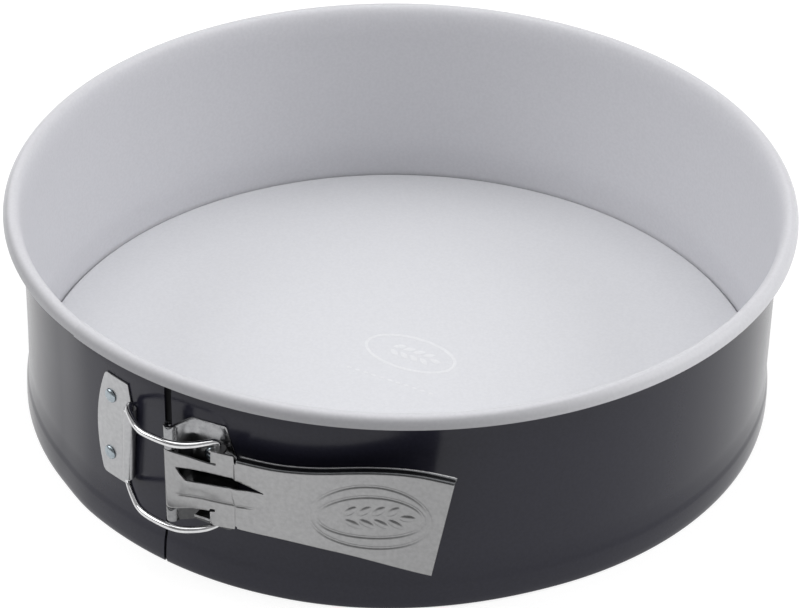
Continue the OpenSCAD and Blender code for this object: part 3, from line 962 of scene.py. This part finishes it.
def lever_shape():
    """Outline in developed coordinates, anticlockwise from the neck's lower corner."""
    turned = fold_r * (pi / 2 - 1) + flange + 0.15
    low, high = [], []
    for mm in np.linspace(hem_mm, 88, 26):
        low.append((mm, clasp_z - half_height(mm) - turned))
        high.append((mm, clasp_z + half_height(mm) + turned))
    start = half_height(hem_mm) - fold_r
    z_low, z_high = clasp_z - float(half_height(90)), clasp_z + float(half_height(90))
    pts = [(curl_end, neck_low), (hinge_mm + 0.5, neck_low), (12.1, 31.5), (17.7, 32.6), (18.1, 33.5),
           (19.7, 33.7), (19.6, 32.8), (17.9, 32.3), (18.0, 27.6), (19.4, 27.2), (26.2, 28.1),
           (26.5, clasp_z - start + 0.4), (hem_mm - 0.2, clasp_z - start + 0.4)]
    radii = [0, 1.5, 1.5, 0, 0, 0, 0, 0.2, 0.8, 0.5, 0.4, 0.2, 0.2]
    pts += low + [(tip_mm(z_low) - 0.6, z_low - turned), (tip_mm(z_low), z_low + fold_r),
                  (tip_mm(z_high), z_high - fold_r), (tip_mm(z_high), z_high + turned)]
    radii += [0.4] + [0] * (len(low) - 1) + [0.5, 1.2, 0.6, 0.3]
    pts += high[::-1]
    radii += [0] * (len(high) - 1) + [0.4]
    pts += [(hem_mm - 0.2, clasp_z + start - 0.4), (26.5, clasp_z + start - 0.4), (26.3, 56.9), (18.7, 56.4),
            (18.6, 52.0), (20.4, 52.2), (20.3, 51.4), (18.2, 51.3), (curl_end, neck_top)]
    radii += [0.2, 0.2, 0.5, 0.7, 0, 0, 0, 0.3, 0]
    return rounded(pts, radii, 5)


slot_loop = anticlockwise(np.concatenate([lip_low, slot_top]))[::-1]
e_u, e_v = 20.4, 13.4
build = Builder()
fold_lines = []
for side in (-1, 1):
    lip = [fold_r * pi / 2 + flange + back for back in (-1.4, -0.7, -0.53, -0.36, -0.2, -0.05)]
    for over in list(np.linspace(0, fold_r * pi / 2, 6)) + lip:
        fold_lines.append([(mm, clasp_z + side * (half_height(mm) - fold_r + over))
                           for mm in np.linspace(hem_mm, 96, 60)])
for mm in np.linspace(26.1, 26.9, 5):
    fold_lines.append([(mm, 24.0), (mm, 60.0)])
for dz in (-0.8, -0.45, -0.15, 0.15, 0.45, 0.8):
    fold_lines.append([(mm, z + dz) for mm, z in crease_line[1:]])
for mm in np.linspace(curl_end + 0.6, hinge_mm, 26):
    fold_lines.append([(mm, neck_low), (mm, neck_top)])
build.add(*sheet(lever_shape(), [slot_loop], lever_place, lever_t, 0.8,
                 fine=[(emblem_at[0] - e_u, emblem_at[1] - e_v,
                        emblem_at[0] + e_u, emblem_at[1] + e_v, 0.28)],
                 edge=0.14, lines=fold_lines))
# Faces round the folds of the top and bottom edges get slot 1, the darker metal that paints shade over the
# folds' highlight; the raised rear lip keeps the plain metal.
mesh_points = np.array(build.verts)
for i, f in enumerate(build.faces):
    x, y, z = mesh_points[list(f)].mean(0)
    mm = lever_mm(x, y)
    past_face = abs(z - clasp_z) - half_height(mm)
    build.slots[i] = 1 if mm > hem_mm - 0.5 and -0.5 < past_face < 0.22 else 0
ear_w, ear_t = 6.0, 0.9
for side in (-1, 1):
    z_mid = clasp_z + side * 13.85
    ear_from = 17.9 if side > 0 else 12.2
    ear_to = pivot_mm + ear_w / 2
    corners = [at(ear_from, face_d - 1.0), at(ear_from, 4.2 if side > 0 else 2.2),
               at(pivot_mm - 1.6, 2.7 if side > 0 else 2.2), at(pivot_mm + 1.6, 2.7),
               at(ear_to, 4.2), at(ear_to, face_d - 1.0)]
    loop = anticlockwise(rounded(corners, [0, 1.2, 1.2, 1.2, 1.2, 0], 4))
    build.add(*box_sheet(loop, z_mid - ear_t / 2, z_mid + ear_t / 2))
piece("lever_sheet", build.verts, build.faces, [plated, hem_painted_shade], "lever", ["clasp_lever"],
      build.slots)


# ---------------------------------------------------------------- wire bail

lower_arm = [(-14.6, 5.4), (-10.3, 8.4), (-6.0, 11.2), (-1.6, 12.8), (5.2, 13.6), (9.9, 13.3), (13.6, 11.4),
             (17.0, 8.5)]
upper_arm = [(-12.5, 6.6), (-9.0, 9.2), (-4.9, 11.7), (-1.2, 12.9), (6.0, 13.1), (10.3, 12.2), (13.8, 10.0),
             (17.0, 7.0)]


def bail_path():
    """Centre line of the wire: pin, arm, bar in the curl, arm, pin, with round bends."""
    low, high, pin = clasp_z - bail_half, clasp_z + bail_half, 4.4
    pivot = at(pivot_mm, pivot_d)

    def bar(z):
        return np.array(leaning(*at(curl_mid, curl_d), z)[:2])

    def arm(z, places):
        """Bowed arm in plan, from the bar to the pivot, through a few places chosen along it."""
        knots = [bar(z)] + [at(mm, d) for mm, d in places] + [pivot]
        knots = [2 * knots[0] - knots[1]] + knots + [2 * knots[-1] - knots[-2]]
        out = []
        for a, b, c, d in zip(knots, knots[1:], knots[2:], knots[3:]):
            for t in np.linspace(0, 1, 12, endpoint=False):
                out.append(0.5 * (2 * b + (c - a) * t + (2 * a - 5 * b + 4 * c - d) * t * t
                                  + (3 * b - a - 3 * c + d) * t ** 3))
        return out + [pivot]

    path = [np.array([*pivot, z]) for z in np.linspace(low + pin, low, 10)[:-1]]
    corners = [len(path)]
    path += [np.array([*p, low]) for p in arm(low, lower_arm)[::-1][:-1]]
    corners.append(len(path))
    path += [np.array([*bar(z), z]) for z in np.linspace(low, high, 60)[:-1]]
    corners.append(len(path))
    path += [np.array([*p, high]) for p in arm(high, upper_arm)[:-1]]
    corners.append(len(path))
    path += [np.array([*pivot, z]) for z in np.linspace(high, high - pin, 10)]
    path = np.array(path)
    reach = np.concatenate([[0], np.cumsum(np.linalg.norm(np.diff(path, axis=0), axis=1))])
    bend = 1.9
    out, last = [], 0.0
    for c in corners:
        start, end = reach[c] - bend, reach[c] + bend
        out += [p for p, r in zip(path, reach) if last < r < start]
        a = np.array([np.interp(start, reach, path[:, k]) for k in range(3)])
        b = np.array([np.interp(end, reach, path[:, k]) for k in range(3)])
        for t in np.linspace(0, 1, 12):
            out.append(a * (1 - t) ** 2 + 2 * path[c] * t * (1 - t) + b * t * t)
        last = end
    out += [p for p, r in zip(path, reach) if r > last]
    return [path[0]] + out


build = Builder()
build.add(*tube(bail_path(), wire_r, 28))
piece("bail_wire", build.verts, build.faces, [bright], "bail", ["wire_bail"])


# ---------------------------------------------------------------- stage, lights, camera

def floor():
    """Pale paper under and behind the pan."""
    m, shader, tree = material("floor_paper", (0.3, 0.3, 0.3), 0.9, Specular_IOR_Level=0.0)
    colour = ramp(tree, noise(tree, 3, 2), (0.29, 0.29, 0.29), (0.31, 0.31, 0.31))
    tree.links.new(colour, shader.inputs["Base Color"])
    shader.inputs["Emission Color"].default_value = (1, 1, 1, 1)
    shader.inputs["Emission Strength"].default_value = 0.8
    mesh = bpy.data.meshes.new("floor")
    size = 6.0
    corners = [(-size, -size, 0), (size, -size, 0), (size, size, 0), (-size, size, 0)]
    mesh.from_pydata(corners, [], [(0, 1, 2, 3)])
    mesh.materials.append(m)
    obj = bpy.data.objects.new("floor", mesh)
    bpy.context.scene.collection.objects.link(obj)


def area_light(name, place, target, size, power):
    """Softbox at a place, turned to a target."""
    data = bpy.data.lights.new(name, "AREA")
    data.shape = "RECTANGLE"
    data.size, data.size_y = size
    data.energy = power
    obj = bpy.data.objects.new(name, data)
    obj.location = place
    obj.rotation_euler = (Vector(target) - Vector(place)).to_track_quat("-Z", "Y").to_euler()
    bpy.context.scene.collection.objects.link(obj)


def studio(dim_azimuth):
    """White surroundings, dimmer on one side of the pan."""
    world = bpy.data.worlds.new("studio")
    world.use_nodes = True
    tree = world.node_tree
    background = tree.nodes["Background"]
    background.inputs["Color"].default_value = (1, 1, 1, 1)
    sky = tree.nodes.new("ShaderNodeTexCoord")
    facing = tree.nodes.new("ShaderNodeVectorMath")
    facing.operation = "DOT_PRODUCT"
    facing.inputs[1].default_value = (sin(dim_azimuth), -cos(dim_azimuth), 0)
    level = tree.nodes.new("ShaderNodeMapRange")
    for socket, value in (("From Min", -0.5), ("From Max", 1.0), ("To Min", 0.56), ("To Max", 0.22)):
        level.inputs[socket].default_value = value
    tree.links.new(sky.outputs["Generated"], facing.inputs[0])
    tree.links.new(facing.outputs["Value"], level.inputs["Value"])
    tree.links.new(level.outputs["Result"], background.inputs["Strength"])
    bpy.context.scene.world = world


floor()
studio(radians(-7))
view_azimuth, view_elevation, view_roll = radians(33.3), radians(33.87), radians(0.87)
distance, lens = 1.017, 129.15
right = Vector((cos(view_azimuth), sin(view_azimuth), 0))
aim = right * 0.00017 + Vector((0, 0, 0.0291))
away = Vector((cos(view_elevation) * sin(view_azimuth), -cos(view_elevation) * cos(view_azimuth),
               sin(view_elevation)))
area_light("softbox_top", (0, 0, 1.5), (0, 0, 0), (1.4, 1.4), 11)
for side_name, side in (("left", -1), ("right", 1)):
    area_light("softbox_" + side_name, right * side * 1.1 + Vector((0, 0, 0.85)), (0, 0, 0.05), (0.9, 0.7),
               7.6 - 0.1 * side)
up = right.cross(-away)
cam_x = right * cos(view_roll) + up * sin(view_roll)
cam_y = up * cos(view_roll) - right * sin(view_roll)
camera_data = bpy.data.cameras.new("camera")
camera_data.lens = lens
camera_data.sensor_width = 36
camera = bpy.data.objects.new("camera", camera_data)
bpy.context.scene.collection.objects.link(camera)
camera_at = aim + away * distance
rows = [[cam_x[i], cam_y[i], away[i], camera_at[i]] for i in range(3)]
camera.matrix_world = Matrix(rows + [[0, 0, 0, 1]])
bpy.context.scene.camera = camera
bpy.context.scene.view_settings.view_transform = "Standard"
